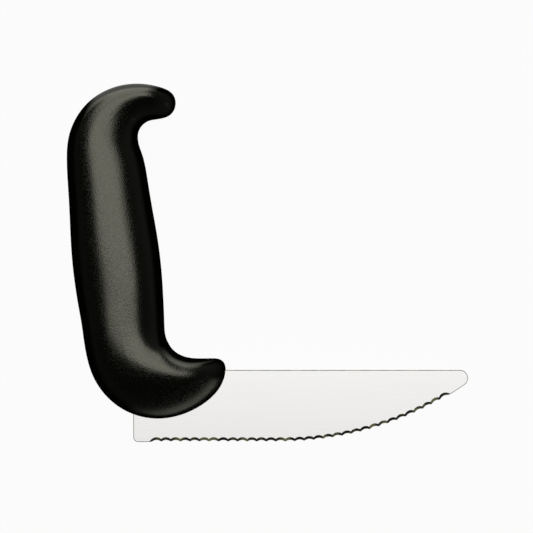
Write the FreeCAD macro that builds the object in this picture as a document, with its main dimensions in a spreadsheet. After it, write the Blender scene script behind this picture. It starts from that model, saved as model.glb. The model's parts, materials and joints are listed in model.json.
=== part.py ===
import FreeCAD, Part
import math
import os

import Sketcher

# Angled knife: a scalloped table knife whose blade runs out square from the foot of an upright
# handle, so that it is pressed down with a closed fist.
# It is drawn in the knife's own frame: the heel of the cutting edge at the origin, +X along the edge
# to the point, +Y from the edge to the spine and on up the handle, +Z out of the blade's ground side.
# The finished pieces are then laid down on their side, as the loose knife comes to rest.

Vector = FreeCAD.Vector
doc = FreeCAD.newDocument("angled_knife")

# Driving sizes, in millimetres and degrees

driving = [
    # stamped blade
    ("blade_length", 140.5),
    ("blade_depth", 30.2),
    ("blade_thickness", 1.2),
    ("belly_radius", 135.0),
    ("point_radius", 3.4),
    ("heel_radius", 2.0),
    ("edge_break", 0.25),
    # scallops ground along the cutting edge, from one side
    ("plain_heel", 7.7),
    ("plain_point", 8.0),
    ("scallop_depth", 0.75),
    ("wheel_radius", 4.2),
    ("wheel_tilt_angle", 47.0),
    ("wheel_width", 12.0),
    # centreline of the handle, from the foot of its grip up to the hook and along to the horn
    ("grip_foot_x", -3.35),
    ("grip_foot_y", 41.6),
    ("grip_length", 80.2),
    ("grip_lean_angle", 6.3),
    ("hook_radius", 19.2),
    ("hook_droop_angle", 4.8),
    ("hook_reach", 9.2),
    ("foot_radius", 19.3),
    ("foot_sweep_angle", 72.0),
    ("horn_radius", 26.3),
    ("horn_sweep_angle", 62.3),
    ("hook_dome", 12.3),
    ("horn_dome", 11.0),
    ("section_fan", 10.0),
    # width of the handle in the plane of the blade, depth across it on the centreline, and how far
    # its crown leans to the left on the way from the hook to the horn
    ("hook_tip_width", 18.8), ("hook_tip_depth", 12.5), ("hook_tip_crown_ratio", -0.45),
    ("hook_root_width", 14.9), ("hook_root_depth", 17.8), ("hook_root_crown_ratio", -0.46),
    ("hook_bend_width", 24.3), ("hook_bend_depth", 22.5), ("hook_bend_crown_ratio", -0.3),
    ("shoulder_width", 31.6), ("shoulder_depth", 25.5), ("shoulder_crown_ratio", -0.12),
    ("grip_upper_width", 34.2), ("grip_upper_depth", 28.0), ("grip_upper_crown_ratio", -0.07),
    ("grip_middle_width", 36.6), ("grip_middle_depth", 28.8), ("grip_middle_crown_ratio", -0.03),
    ("grip_lower_width", 36.1), ("grip_lower_depth", 28.3), ("grip_lower_crown_ratio", 0.0),
    ("waist_width", 34.2), ("waist_depth", 27.4), ("waist_crown_ratio", 0.03),
    ("foot_upper_width", 34.6), ("foot_upper_depth", 27.0), ("foot_upper_crown_ratio", 0.26),
    ("foot_lower_width", 34.0), ("foot_lower_depth", 26.5), ("foot_lower_crown_ratio", 0.43),
    ("sole_width", 30.9), ("sole_depth", 26.0), ("sole_crown_ratio", 0.52),
    ("horn_bend_width", 20.6), ("horn_bend_depth", 21.5), ("horn_bend_crown_ratio", 0.53),
    ("horn_tip_width", 12.1), ("horn_tip_depth", 10.1), ("horn_tip_crown_ratio", 0.4),
]

sizes = doc.addObject("Spreadsheet::Sheet", "sizes")
for row, (name, value) in enumerate(driving, start=1):
    sizes.set(f"A{row}", name)
    sizes.set(f"B{row}", str(value))
    sizes.setAlias(f"B{row}", name)
doc.recompute()


def size(name):
    return float(sizes.get(name))


# Small helpers

right_angle, half_turn, full_turn = 90, 180, 360


def unit(degrees):
    return Vector(math.cos(math.radians(degrees)), math.sin(math.radians(degrees)), 0)


def origin_plane(body, role):
    return next(item for item in body.Origin.OriginFeatures if item.Role == role)


# Blade blank: a sheet stamped to its outline, with its sharp corners taken off

# the belly is tangent to the straight edge and to the rounded point, and this is where it starts
point_radius = size("point_radius")
point_centre = Vector(size("blade_length") - point_radius, size("blade_depth") - point_radius, 0)
belly_drop = size("belly_radius") - point_centre.y
belly_reach = math.sqrt((size("belly_radius") - point_radius) ** 2 - belly_drop ** 2)
belly_start = point_centre.x - belly_reach
belly_centre = Vector(belly_start, size("belly_radius"), 0)
belly_sweep = math.degrees(math.atan2(belly_reach, belly_drop))


def arc(centre, radius, first, last):
    circle = Part.Circle(centre, Vector(0, 0, 1), radius)
    return Part.ArcOfCircle(circle, math.radians(first), math.radians(last))


def draw_blade_outline(sketch):
    depth = size("blade_depth")
    corner = size("heel_radius")
    edge, belly, point, spine, heel, heel_corner = sketch.addGeometry([
        Part.LineSegment(Vector(corner, 0, 0), Vector(belly_start, 0, 0)),
        arc(belly_centre, size("belly_radius"), -right_angle, belly_sweep - right_angle),
        arc(point_centre, point_radius, belly_sweep - right_angle, right_angle),
        Part.LineSegment(Vector(point_centre.x, depth, 0), Vector(0, depth, 0)),
        Part.LineSegment(Vector(0, depth, 0), Vector(0, corner, 0)),
        arc(Vector(corner, corner, 0), corner, half_turn, half_turn + right_angle),
    ], False)
    start, end, centre = 1, 2, 3
    x_axis, y_axis, origin = -1, -2, -1
    sketch.addConstraint([
        Sketcher.Constraint("Tangent", edge, end, belly, start),
        Sketcher.Constraint("Tangent", belly, end, point, start),
        Sketcher.Constraint("Tangent", point, end, spine, start),
        Sketcher.Constraint("Coincident", spine, end, heel, start),
        Sketcher.Constraint("Tangent", heel, end, heel_corner, start),
        Sketcher.Constraint("Tangent", heel_corner, end, edge, start),
        Sketcher.Constraint("Horizontal", spine),
        Sketcher.Constraint("PointOnObject", edge, start, x_axis),
        Sketcher.Constraint("PointOnObject", edge, end, x_axis),
        Sketcher.Constraint("PointOnObject", heel, start, y_axis),
        Sketcher.Constraint("PointOnObject", heel, end, y_axis),
    ])
    measures = [
        ("depth", ("DistanceY", origin, start, spine, end, depth), "sizes.blade_depth"),
        ("reach", ("DistanceX", origin, start, point, centre, point_centre.x),
         "sizes.blade_length - sizes.point_radius"),
        ("belly", ("Radius", belly, size("belly_radius")), "sizes.belly_radius"),
        ("point", ("Radius", point, point_radius), "sizes.point_radius"),
        ("heel", ("Radius", heel_corner, corner), "sizes.heel_radius"),
    ]
    for name, terms, formula in measures:
        number = sketch.addConstraint(Sketcher.Constraint(*terms))
        sketch.renameConstraint(number, name)
        sketch.setExpression(f"Constraints.{name}", formula)


blank = doc.addObject("PartDesign::Body", "blade_blank")
outline = blank.newObject("Sketcher::SketchObject", "blade_outline")
outline.AttachmentSupport = [(origin_plane(blank, "XY_Plane"), "")]
outline.MapMode = "FlatFace"
draw_blade_outline(outline)

sheet = blank.newObject("PartDesign::Pad", "blade_sheet")
sheet.Profile = outline
sheet.SideType = "Symmetric"
sheet.setExpression("Length", "sizes.blade_thickness")
doc.recompute()

flats = [f"Face{number}" for number, face in enumerate(sheet.Shape.Faces, start=1)
         if abs(face.normalAt(0, 0).z) > 0.99]
softened = blank.newObject("PartDesign::Chamfer", "edge_breaks")
softened.Base = (sheet, flats)
softened.setExpression("Size", "sizes.edge_break")
blank.Tip = softened
doc.recompute()

# Scallops: a narrow round wheel, tilted out of the sheet, touches the edge once for each scallop.
# Its tilt makes the cut deeper on the front, which is the ground band under the cusps.

tilt = math.radians(size("wheel_tilt_angle"))
belly_length = size("belly_radius") * math.radians(belly_sweep)
scalloped_length = belly_start + belly_length - size("plain_heel") - size("plain_point")
cut_share = 1 - size("scallop_depth") * math.cos(tilt) / size("wheel_radius")
natural_pitch = 2 * size("wheel_radius") * math.sqrt(1 - cut_share ** 2)
scallop_count = max(1, round(scalloped_length / natural_pitch))
scallop_pitch = scalloped_length / scallop_count


def edge_point(along):
    # the place on the cutting edge, and the direction straight out of the blade there
    turned = max(0.0, math.degrees((along - belly_start) / size("belly_radius")))
    outward = unit(turned - right_angle)
    if turned == 0:
        return Vector(along, 0, 0), outward
    return belly_centre + outward * size("belly_radius"), outward


wheels = []
for number in range(scallop_count):
    place, outward = edge_point(size("plain_heel") + (number + 0.5) * scallop_pitch)
    axis = Vector(0, 0, math.cos(tilt)) - outward * math.sin(tilt)
    # the far side of the sheet is cut to the scallop's depth
    stand_off = size("wheel_radius") / math.cos(tilt) - size("scallop_depth")
    stand_off -= size("blade_thickness") / 2 * math.tan(tilt)
    wheel = doc.addObject("Part::Cylinder", f"scallop_wheel_{number + 1}")
    wheel.setExpression("Radius", "sizes.wheel_radius")
    wheel.setExpression("Height", "sizes.wheel_width")
    wheel.Placement = FreeCAD.Placement(place + outward * stand_off - axis * (size("wheel_width") / 2),
                                        FreeCAD.Rotation(Vector(0, 0, 1), axis))
    wheels.append(wheel)

grinding = doc.addObject("Part::MultiFuse", "scallop_grinding")
grinding.Shapes = wheels
ground_blade = doc.addObject("Part::Cut", "ground_blade")
ground_blade.Base = blank
ground_blade.Tool = grinding
doc.recompute()

# Handle: one moulding, an egg-shaped section carried along a centreline of straight and round runs.
# The runs are listed from the tip of the hook to the tip of the horn, and all of them turn left.

hook_sweep = right_angle + size("grip_lean_angle") + size("hook_droop_angle")
runs = [
    (size("hook_reach"), 0.0),
    (size("hook_radius") * math.radians(hook_sweep), hook_sweep),
    (size("grip_length"), 0.0),
    (size("foot_radius") * math.radians(size("foot_sweep_angle")), size("foot_sweep_angle")),
    (size("horn_radius") * math.radians(size("horn_sweep_angle")), size("horn_sweep_angle")),
]
run_starts = [sum(length for length, turn in runs[:number]) for number in range(len(runs) + 1)]
handle_length = run_starts[-1]
hook_run, hook_bend_run, grip_run, foot_run, horn_run = range(len(runs))


def walk(along):
    # the point and the heading at a distance along the runs, from a start at the origin
    point, heading = Vector(0, 0, 0), half_turn - size("hook_droop_angle")
    for length, turn in runs:
        part = min(max(along, 0.0), length) / length
        if turn:
            to_centre = unit(heading + right_angle) * (length / math.radians(turn))
            point = point + to_centre
            heading += part * turn
            point = point - unit(heading + right_angle) * to_centre.Length
        else:
            point = point + unit(heading) * (part * length)
        along -= length
    return point, heading


grip_foot = Vector(size("grip_foot_x"), size("grip_foot_y"), 0)
shift = grip_foot - walk(run_starts[foot_run])[0]

# each section takes the mean heading of the centreline for a little way before and behind it,
# so that the sections fan out evenly round the tight inner corners
fan_steps = 8


def section_heading(along):
    offsets = [size("section_fan") * (2 * step / fan_steps - 1) for step in range(fan_steps + 1)]
    return sum(walk(along + offset)[1] for offset in offsets) / len(offsets)


# where along the handle each named width, depth and crown is measured
measured = [
    ("hook_tip", hook_run, 0), ("hook_root", hook_bend_run, 0), ("hook_bend", hook_bend_run, 1 / 2),
    ("shoulder", grip_run, 0), ("grip_upper", grip_run, 1 / 4), ("grip_middle", grip_run, 1 / 2),
    ("grip_lower", grip_run, 3 / 4), ("waist", foot_run, 0), ("foot_upper", foot_run, 1 / 3),
    ("foot_lower", foot_run, 2 / 3), ("sole", horn_run, 0), ("horn_bend", horn_run, 1 / 2),
    ("horn_tip", horn_run, 1),
]
girth = Part.BSplineCurve()
girth.interpolate(
    Points=[Vector(size(f"{name}_width"), size(f"{name}_depth"), size(f"{name}_crown_ratio"))
            for name, run, share in measured],
    Parameters=[run_starts[run] + share * runs[run][0] for name, run, share in measured])


# how far an arc of a section runs on along its tangents: 0.55 would make an ellipse of it
arc_pull = 0.6


def oval(along, swell):
    # an egg in four arcs, which is fullest on the side that its crown leans to
    centre = walk(along)[0] + shift
    across = unit(section_heading(along) + right_angle)
    form = girth.value(along)
    half_width, half_depth, lean = form.x * swell / 2, form.y * swell / 2, form.z
    joints = []
    for angle in range(0, full_turn + 1, right_angle):
        turn, twice = unit(angle), unit(2 * angle)
        place = across * (half_width * turn.x) + Vector(0, 0, half_depth * turn.y * (1 + lean * turn.x))
        tangent = across * (-half_width * turn.y) + Vector(0, 0, half_depth * (turn.x + lean * twice.x))
        joints.append((centre + place, tangent * arc_pull))
    arcs = []
    for (first, leaving), (last, arriving) in zip(joints, joints[1:]):
        curve = Part.BezierCurve()
        curve.setPoles([first, first + leaving, last - arriving, last])
        arcs.append(curve.toShape())
    return Part.Wire(arcs)


# each end is rounded off by a dome, down to a flat too small to see
dome_angles = [87, 72, 54, 36, 18]
section_spacing = 8.5
body_start, body_end = size("hook_dome"), handle_length - size("horn_dome")
body_steps = round((body_end - body_start) / section_spacing)
dome_shares = [(1 - math.sin(math.radians(angle)), math.cos(math.radians(angle))) for angle in dome_angles]

sections = [oval(size("hook_dome") * share, swell) for share, swell in dome_shares]
for step in range(body_steps + 1):
    sections.append(oval(body_start + (body_end - body_start) * step / body_steps, 1))
for share, swell in reversed(dome_shares):
    sections.append(oval(handle_length - size("horn_dome") * share, swell))

handle_form = doc.addObject("Part::Feature", "handle_form")
handle_form.Shape = Part.makeLoft(sections, True)

# The moulding closes on the sheet: the handle has the blade's own slot, and the flats of the blade
# are divided along the handle's mouth

handle = doc.addObject("Part::Cut", "handle_moulding")
handle.Base = handle_form
handle.Tool = ground_blade
bare_blade = doc.addObject("Part::Cut", "bare_blade")
bare_blade.Base = ground_blade
bare_blade.Tool = handle_form
held_blade = doc.addObject("Part::Common", "held_blade")
held_blade.Base = ground_blade
held_blade.Tool = handle_form
blade = doc.addObject("Part::Fuse", "whole_blade")
blade.Base = bare_blade
blade.Tool = held_blade
blade.Refine = False
handle.Label = "handle"
blade.Label = "blade"
doc.recompute()

# Lying down: the knife comes to rest on its side, on the swell of its grip and the blade's point,
# where its centre of mass is lowest

moulding_density = 1.0
steel_density = 7.8
masses = [(solid, density) for piece, density in ((handle, moulding_density), (blade, steel_density))
          for solid in piece.Shape.Solids]
total = sum(solid.Volume * density for solid, density in masses)
middle = Vector()
for solid, density in masses:
    middle += solid.CenterOfMass * (solid.Volume * density / total)
fineness = 0.1
under_side = [point for solid, density in masses for point in solid.tessellate(fineness)[0] if point.z < 0]


def upward(slope_x, slope_y):
    return Vector(slope_x, slope_y, 1).normalize()


def middle_height(slope_x, slope_y):
    up = upward(slope_x, slope_y)
    return middle.dot(up) - min(point.dot(up) for point in under_side)


slopes = (0.0, 0.0)
height = middle_height(*slopes)
stride, finest_stride, directions = 0.08, 0.0002, 16
while stride > finest_stride:
    steps = [unit(full_turn * number / directions) * stride for number in range(directions)]
    tries = [(slopes[0] + step.x, slopes[1] + step.y) for step in steps]
    heights = [middle_height(*pair) for pair in tries]
    if min(heights) < height:
        height = min(heights)
        slopes = tries[heights.index(height)]
    else:
        stride /= 2

turned = FreeCAD.Rotation(Vector(1, 0, 0), Vector(0, 1, 0), upward(*slopes), "ZXY").inverted()
standing = Part.makeCompound([handle.Shape, blade.Shape])
standing.Placement = FreeCAD.Placement(Vector(), turned)
box = standing.optimalBoundingBox(False, False)
laid_down = FreeCAD.Placement(Vector(-box.Center.x, -box.Center.y, -box.ZMin), turned)
for piece in (handle, blade):
    piece.Placement = laid_down
doc.recompute()

# Checks, then one file for each piece

for item in doc.Objects:
    if "Invalid" in item.State or "Error" in item.State:
        raise RuntimeError(f"{item.Label} did not build: {item.State}")
for piece in (handle, blade):
    if piece.Shape.isNull() or not piece.Shape.isValid():
        raise RuntimeError(f"{piece.Label} has no valid shape")

os.makedirs("parts", exist_ok=True)
for piece in (handle, blade):
    piece.Shape.exportStep(f"parts/{piece.Label}.step")
    volume = round(piece.Shape.Volume / 1000, 2)
    print(piece.Label, "solids", len(piece.Shape.Solids), "volume", volume, "cm3")
print("scallops", scallop_count, "at", round(scallop_pitch, 3), "mm")
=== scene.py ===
import json
import math
import bpy
from mathutils import Matrix, Vector

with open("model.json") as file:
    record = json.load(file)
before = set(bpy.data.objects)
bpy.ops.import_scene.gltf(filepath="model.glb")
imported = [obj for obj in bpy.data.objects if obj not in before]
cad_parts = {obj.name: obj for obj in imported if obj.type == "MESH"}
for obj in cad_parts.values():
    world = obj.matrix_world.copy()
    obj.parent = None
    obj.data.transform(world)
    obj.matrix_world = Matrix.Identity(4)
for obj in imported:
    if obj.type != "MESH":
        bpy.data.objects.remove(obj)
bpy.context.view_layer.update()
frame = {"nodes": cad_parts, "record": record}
scene = bpy.context.scene
scene.view_settings.view_transform = "Standard"
print("frame loaded")


# the knife's own axes, read from the mount on the bare flat of the blade
knife = {
    "mountAlong": 0.085,  # metres from the heel's corner along the edge to the mount
    "mountUp": 0.017,
    "mountOut": 0.0006,  # half the sheet
}
flatMount = frame["record"]["mounts"][0]
outOfBlade = Vector(flatMount["axis"]).normalized()
alongBlade = Vector((0, 1, 0)).cross(outOfBlade).normalized()
upHandle = outOfBlade.cross(alongBlade)
heel = Vector(flatMount["pos_m"]) - alongBlade * knife["mountAlong"]
heel -= upHandle * knife["mountUp"] + outOfBlade * knife["mountOut"]


def knifePoint(along, up, out):
    return heel + alongBlade * along + upHandle * up + outOfBlade * out


class Socket:
    # an output in a node tree that takes part in plain arithmetic

    def __init__(self, shader, output):
        self.shader = shader
        self.output = output

    def combine(self, operation, *terms):
        return self.shader.combine(operation, *terms)

    def __add__(self, other):
        return self.combine("ADD", self, other)

    def __radd__(self, other):
        return self.combine("ADD", other, self)

    def __sub__(self, other):
        return self.combine("SUBTRACT", self, other)

    def __rsub__(self, other):
        return self.combine("SUBTRACT", other, self)

    def __mul__(self, other):
        return self.combine("MULTIPLY", self, other)

    def __rmul__(self, other):
        return self.combine("MULTIPLY", other, self)

    def __abs__(self):
        return self.combine("ABSOLUTE", self)


class Shader:
    # a node tree, with one way to add any node to it

    def __init__(self, tree):
        self.tree = tree
        tree.nodes.clear()

    def node(self, kind, settings=None, inputs=None, output=0):
        made = self.tree.nodes.new(kind)
        for name, value in (settings or {}).items():
            setattr(made, name, value)
        for name, value in (inputs or {}).items():
            if isinstance(value, Socket):
                self.tree.links.new(value.output, made.inputs[name])
            else:
                made.inputs[name].default_value = value
        return Socket(self, made.outputs[output]) if made.outputs else made

    def combine(self, operation, *terms):
        return self.node("ShaderNodeMath", {"operation": operation}, dict(enumerate(terms)))

    def along(self, vector, direction):
        # how far a vector reaches along a direction
        inputs = {0: vector, 1: tuple(direction)}
        return self.node("ShaderNodeVectorMath", {"operation": "DOT_PRODUCT"}, inputs, "Value")

    def mix(self, share, none, whole):
        # two colours, by the share that the second one takes
        return self.node("ShaderNodeMix", {"data_type": "RGBA"}, {0: share, 6: none, 7: whole}, 2)

    def mixShaders(self, share, none, whole):
        return self.node("ShaderNodeMixShader", None, {0: share, 1: none, 2: whole})

    def noise(self, place, scale, detail):
        return self.node("ShaderNodeTexNoise", None, {"Vector": place, "Scale": scale, "Detail": detail})

    def bump(self, height, distance):
        return self.node("ShaderNodeBump", None, {"Height": height, "Distance": distance})

    def ramp(self, value, start, stop):
        # rises smoothly from 0 at start to 1 at stop
        settings = {"interpolation_type": "SMOOTHSTEP"}
        inputs = {"Value": value, "From Min": start, "From Max": stop}
        return self.node("ShaderNodeMapRange", settings, inputs)


def newMaterial(name):
    material = bpy.data.materials.new(name)
    material.use_nodes = True
    return material, Shader(material.node_tree)


# handle: one black moulding with a fine, even stipple, whose gloss is painted by place as painted shade:
# glossy on its crown and satin on its flanks, which both go dull where they are seen edge on
handleLook = {
    "colour": (0.0015, 0.0015, 0.001, 1),
    "shine": (1.0, 1.0, 0.82, 1),  # tint of the gloss
    "ior": 1.95,
    "roughness": (0.14, 0.18),  # from the most to the least handled places
    "handled": 70,  # patches in a metre
    "patchDetail": 3.0,
    "grain": 1700,  # stipple cells in a metre
    "grainDetail": 0.0,
    "grainHeight": 0.00004,
    "grainSlope": (0.35, 0.65),  # from the bottom of a hollow to the level between hollows
    "grainRoughness": 0.16,  # more in the hollows
    "flankRoughness": 0.5,
    "flankShine": 0.17,
    "sideways": (0.98, 0.17),  # along the blade and up the handle
    "sideScale": (1.25, 1.0),  # what a turn sideways counts for, below the grip and above it
    # each pair from here to hornTip is where something starts and where it is whole
    "edgeOn": (0.32, 0.58),  # facing that takes the crown's gloss, 0 head on and 1 edge on
    "flankEdgeOn": (0.1, 0.4),  # facing that takes the flanks' gloss
    "sideOn": (0.32, 0.55),  # turn sideways that makes a flank
    "lowOn": (0.2, 0.45),  # turn down towards the blade's edge that makes a flank
    "topOn": (0.1, 0.4),  # turn up or down that counts as a top or an underside
    "hook": (0.1, 0.13),  # metres up the handle
    "grip": (0.04, 0.11),
    "crotch": (0.033, 0.041),
    "foot": (-0.004, 0.02),  # metres along the blade
    "horn": (0.006, 0.018),
    "hornTip": (0.02, 0.03),
    # shares of the painted dulling that are left on the hook's top, the horn and the foot's underside,
    # where the gloss is spared
    "hookTopDulled": 0.65,
    "hornDulled": 0.1,
    "footDulled": 0.5,
}


def makeHandleMaterial():
    material, shader = newMaterial("blackMoulding")
    place = shader.node("ShaderNodeTexCoord", output="Object")
    grain = shader.noise(place, handleLook["grain"], handleLook["grainDetail"])
    bump = shader.bump(grain, handleLook["grainHeight"])
    patches = shader.noise(place, handleLook["handled"], handleLook["patchDetail"])
    worn, fresh = handleLook["roughness"]
    hollow = 1 - shader.ramp(grain, *handleLook["grainSlope"])
    facing = shader.node("ShaderNodeLayerWeight", output="Facing")
    turned = shader.node("ShaderNodeNewGeometry", output="Normal")
    upward = shader.along(turned, upHandle)
    height = shader.along(place, upHandle) - heel.dot(upHandle)
    forward = shader.along(place, alongBlade) - heel.dot(alongBlade)
    # places spared the painted dulling, so that the gloss stays where the highlights and the floor's
    # glow are to fall
    hook = shader.ramp(height, *handleLook["hook"])
    hookTop = (1 - handleLook["hookTopDulled"]) * hook * shader.ramp(upward, *handleLook["topOn"])
    horn = shader.ramp(forward, *handleLook["horn"]) * (1 - shader.ramp(forward, *handleLook["hornTip"]))
    horn = (1 - handleLook["hornDulled"]) * horn * (1 - shader.ramp(height, *handleLook["crotch"]))
    foot = (1 - handleLook["footDulled"]) * shader.ramp(forward, *handleLook["foot"]) * (1 - hook)
    sole = foot * shader.ramp(0 - upward, *handleLook["topOn"])
    # where the surface is seen edge on, and where it belongs to a flank, both painted shade where the
    # gloss is taken away
    edgeShade = shader.ramp(facing, *handleLook["edgeOn"]) * (1 - hookTop) * (1 - sole)
    below, above = handleLook["sideScale"]
    scale = below + (above - below) * shader.ramp(height, *handleLook["grip"])
    across, up = handleLook["sideways"]
    sideways = scale * abs(shader.along(turned, across * alongBlade + up * upHandle))
    side = shader.ramp(sideways, *handleLook["sideOn"]) * (1 - horn) * (1 - sole)
    low = shader.ramp(0 - upward, *handleLook["lowOn"]) * (1 - foot)
    flankShade = shader.combine("MAXIMUM", side, low)
    glossy = shader.node("ShaderNodeBsdfPrincipled", None, {
        "Base Color": handleLook["colour"],
        "Roughness": worn + (fresh - worn) * patches + handleLook["grainRoughness"] * hollow,
        "IOR": handleLook["ior"],
        "Specular Tint": handleLook["shine"],
        "Normal": bump,
    })
    shadedSatin, shadedDull = [shader.node("ShaderNodeBsdfPrincipled", None, {
        "Base Color": handleLook["colour"],
        "Roughness": handleLook["flankRoughness"],
        "Specular IOR Level": shine,
        "Specular Tint": handleLook["shine"],
        "Normal": bump,
    }) for shine in (handleLook["flankShine"], 0.0)]
    # painted shade: flanks take the satin copy, which goes to the dull copy edge on, and edge-on places
    # take the dull copy, so that no gloss shows there
    surface = shader.mixShaders(shader.ramp(facing, *handleLook["flankEdgeOn"]), shadedSatin, shadedDull)
    surface = shader.mixShaders(1 - flankShade, surface, glossy)
    surface = shader.mixShaders(edgeShade, surface, shadedDull)
    shader.node("ShaderNodeOutputMaterial", None, {"Surface": surface})
    return material


# blade: brushed stainless sheet, with painted shade where the scallops are ground and the corners
# broken: these slopes are painted near black with olive patches
bladeLook = {
    "colour": (0.83, 0.822, 0.808, 1),
    "offSides": (0.2, 0.4),  # flatness where a side ends and a slope starts
    "ontoFlats": (0.9, 0.97),  # and where a slope ends and a flat starts
    # painted shade for the slopes: near black, with olive patches at random
    "slopeShadeColour": (0.006, 0.006, 0.004, 1),
    "olivePatchColour": (0.12, 0.12, 0.055, 1),
    "olivePatches": 260,  # in a metre of the ground scallops
    "olivePatchDetail": 2.0,
    "olivePatchEdge": (0.45, 0.62),
    "roughness": (0.2, 0.24),
    "brushing": (25, 3000),  # streaks in a metre, along the blade and across it
    "brushDetail": 3.0,
    "brushHeight": 0.000004,
}


def makeBladeMaterial():
    material, shader = newMaterial("satinSteel")
    # the ground scallops and the broken corners slope between the flats and the sides
    turned = shader.node("ShaderNodeNewGeometry", output="True Normal")
    flatness = abs(shader.along(turned, outOfBlade))
    onFlats = shader.ramp(flatness, *bladeLook["ontoFlats"])
    sloping = shader.ramp(flatness, *bladeLook["offSides"]) * (1 - onFlats)
    place = shader.node("ShaderNodeTexCoord", output="Object")
    # painted shade on the slopes: near black with olive patches at random, in place of the steel's
    # colour
    olivePatches = shader.noise(place, bladeLook["olivePatches"], bladeLook["olivePatchDetail"])
    inOlivePatch = shader.ramp(olivePatches, *bladeLook["olivePatchEdge"])
    slopeShade = shader.mix(inOlivePatch, bladeLook["slopeShadeColour"], bladeLook["olivePatchColour"])
    colour = shader.mix(sloping, bladeLook["colour"], slopeShade)
    # fine brushing along the blade
    along, across = bladeLook["brushing"]
    streak = shader.node("ShaderNodeCombineXYZ", None, {
        "X": along * shader.along(place, alongBlade),
        "Y": across * shader.along(place, upHandle),
        "Z": across * shader.along(place, outOfBlade),
    })
    brushing = shader.noise(streak, 1.0, bladeLook["brushDetail"])
    smooth, rough = bladeLook["roughness"]
    surface = shader.node("ShaderNodeBsdfPrincipled", None, {
        "Base Color": colour,
        "Metallic": 1.0,
        "Roughness": smooth + (rough - smooth) * brushing,
        "Normal": shader.bump(brushing, bladeLook["brushHeight"]),
    })
    shader.node("ShaderNodeOutputMaterial", None, {"Surface": surface})
    return material


def dress(node, material):
    piece = frame["nodes"][node]
    piece.data.materials.clear()
    piece.data.materials.append(material)


dress("handle", makeHandleMaterial())
dress("blade", makeBladeMaterial())
print("materials made")

# the floor that the knife lies on: white as the camera and mirrors see it, but for a faint shadow
floorLook = {"size": 12.0, "colour": (0.92, 0.92, 0.92, 1), "roughness": 0.9, "whiteShare": 0.95}


def makeFloor():
    half = floorLook["size"] / 2
    corners = [(-half, -half, 0), (half, -half, 0), (half, half, 0), (-half, half, 0)]
    mesh = bpy.data.meshes.new("floor")
    mesh.from_pydata(corners, [], [(0, 1, 2, 3)])
    floor = bpy.data.objects.new("floor", mesh)
    scene.collection.objects.link(floor)
    material, shader = newMaterial("paleFloor")
    lit = shader.node("ShaderNodeBsdfPrincipled", None, {
        "Base Color": floorLook["colour"],
        "Roughness": floorLook["roughness"],
        "Specular IOR Level": 0.0,
    })
    white = shader.node("ShaderNodeEmission")
    seen = shader.node("ShaderNodeLightPath", output="Is Camera Ray")
    for kind in ("Is Glossy Ray", "Is Transmission Ray"):
        seen = shader.combine("MAXIMUM", seen, shader.node("ShaderNodeLightPath", output=kind))
    surface = shader.mixShaders(seen * floorLook["whiteShare"], lit, white)
    shader.node("ShaderNodeOutputMaterial", None, {"Surface": surface})
    mesh.materials.append(material)


makeFloor()

# soft boxes in a dim room, placed by their angles from straight above the blade, in degrees,
# of which the brighter one counts where they meet
light = {
    "room": 0.01,
    "boxes": [
        {"side": 3, "up": 11, "halfWidth": 27, "halfHeight": 21, "soft": 9, "strength": 1.6},
        {"side": -6, "up": 78, "halfWidth": 29, "halfHeight": 50, "soft": 11, "strength": 1.6},
    ],
    "wall": 1.0,  # a pale wall all round, up to a few degrees above the floor
    "wallTop": 0.12,  # share of the way to straight up
}


def makeLight():
    world = bpy.data.worlds.new("softBoxes")
    world.use_nodes = True
    scene.world = world
    shader = Shader(world.node_tree)
    way = shader.node("ShaderNodeTexCoord", output="Generated")
    towardsHook, above = shader.along(way, upHandle), shader.along(way, outOfBlade)
    side = math.degrees(1) * shader.combine("ARCSINE", shader.along(way, alongBlade))
    up = math.degrees(1) * shader.combine("ARCTAN2", towardsHook, above)
    lamps = []
    for box in light["boxes"]:
        lamp, soft = box["strength"], box["soft"]
        sides = (side, box["side"], box["halfWidth"]), (up, box["up"], box["halfHeight"])
        for angle, middle, half in sides:
            lamp = lamp * (1 - shader.ramp(abs(angle - middle), half - soft, half + soft))
        lamps.append(lamp)
    strength = shader.combine("MAXIMUM", *lamps)
    height = shader.along(way, (0, 0, 1))
    wall = 1 - shader.ramp(height, light["wallTop"] / 2, light["wallTop"])
    strength = strength + light["wall"] * wall + light["room"]
    background = shader.node("ShaderNodeBackground", None, {"Strength": strength})
    shader.node("ShaderNodeOutputWorld", None, {"Surface": background})


makeLight()

# the camera looks straight down at the blade
view = {
    "lens": 135,  # millimetres, as is the sensor
    "sensor": 36,
    "pictureWidth": 0.2239,  # metres across the picture at the blade
    "centreAlong": 0.0559,  # metres from the heel's corner to the picture's middle
    "centreUp": 0.07367,
}


def makeCamera():
    data = bpy.data.cameras.new("camera")
    data.lens, data.sensor_width = view["lens"], view["sensor"]
    camera = bpy.data.objects.new("camera", data)
    scene.collection.objects.link(camera)
    distance = view["pictureWidth"] * view["lens"] / view["sensor"]
    turn = Matrix((alongBlade, upHandle, outOfBlade)).transposed()
    camera.matrix_world = Matrix.Translation(
        knifePoint(view["centreAlong"], view["centreUp"], distance)) @ turn.to_4x4()
    scene.camera = camera


makeCamera()
print("floor, light and camera made")
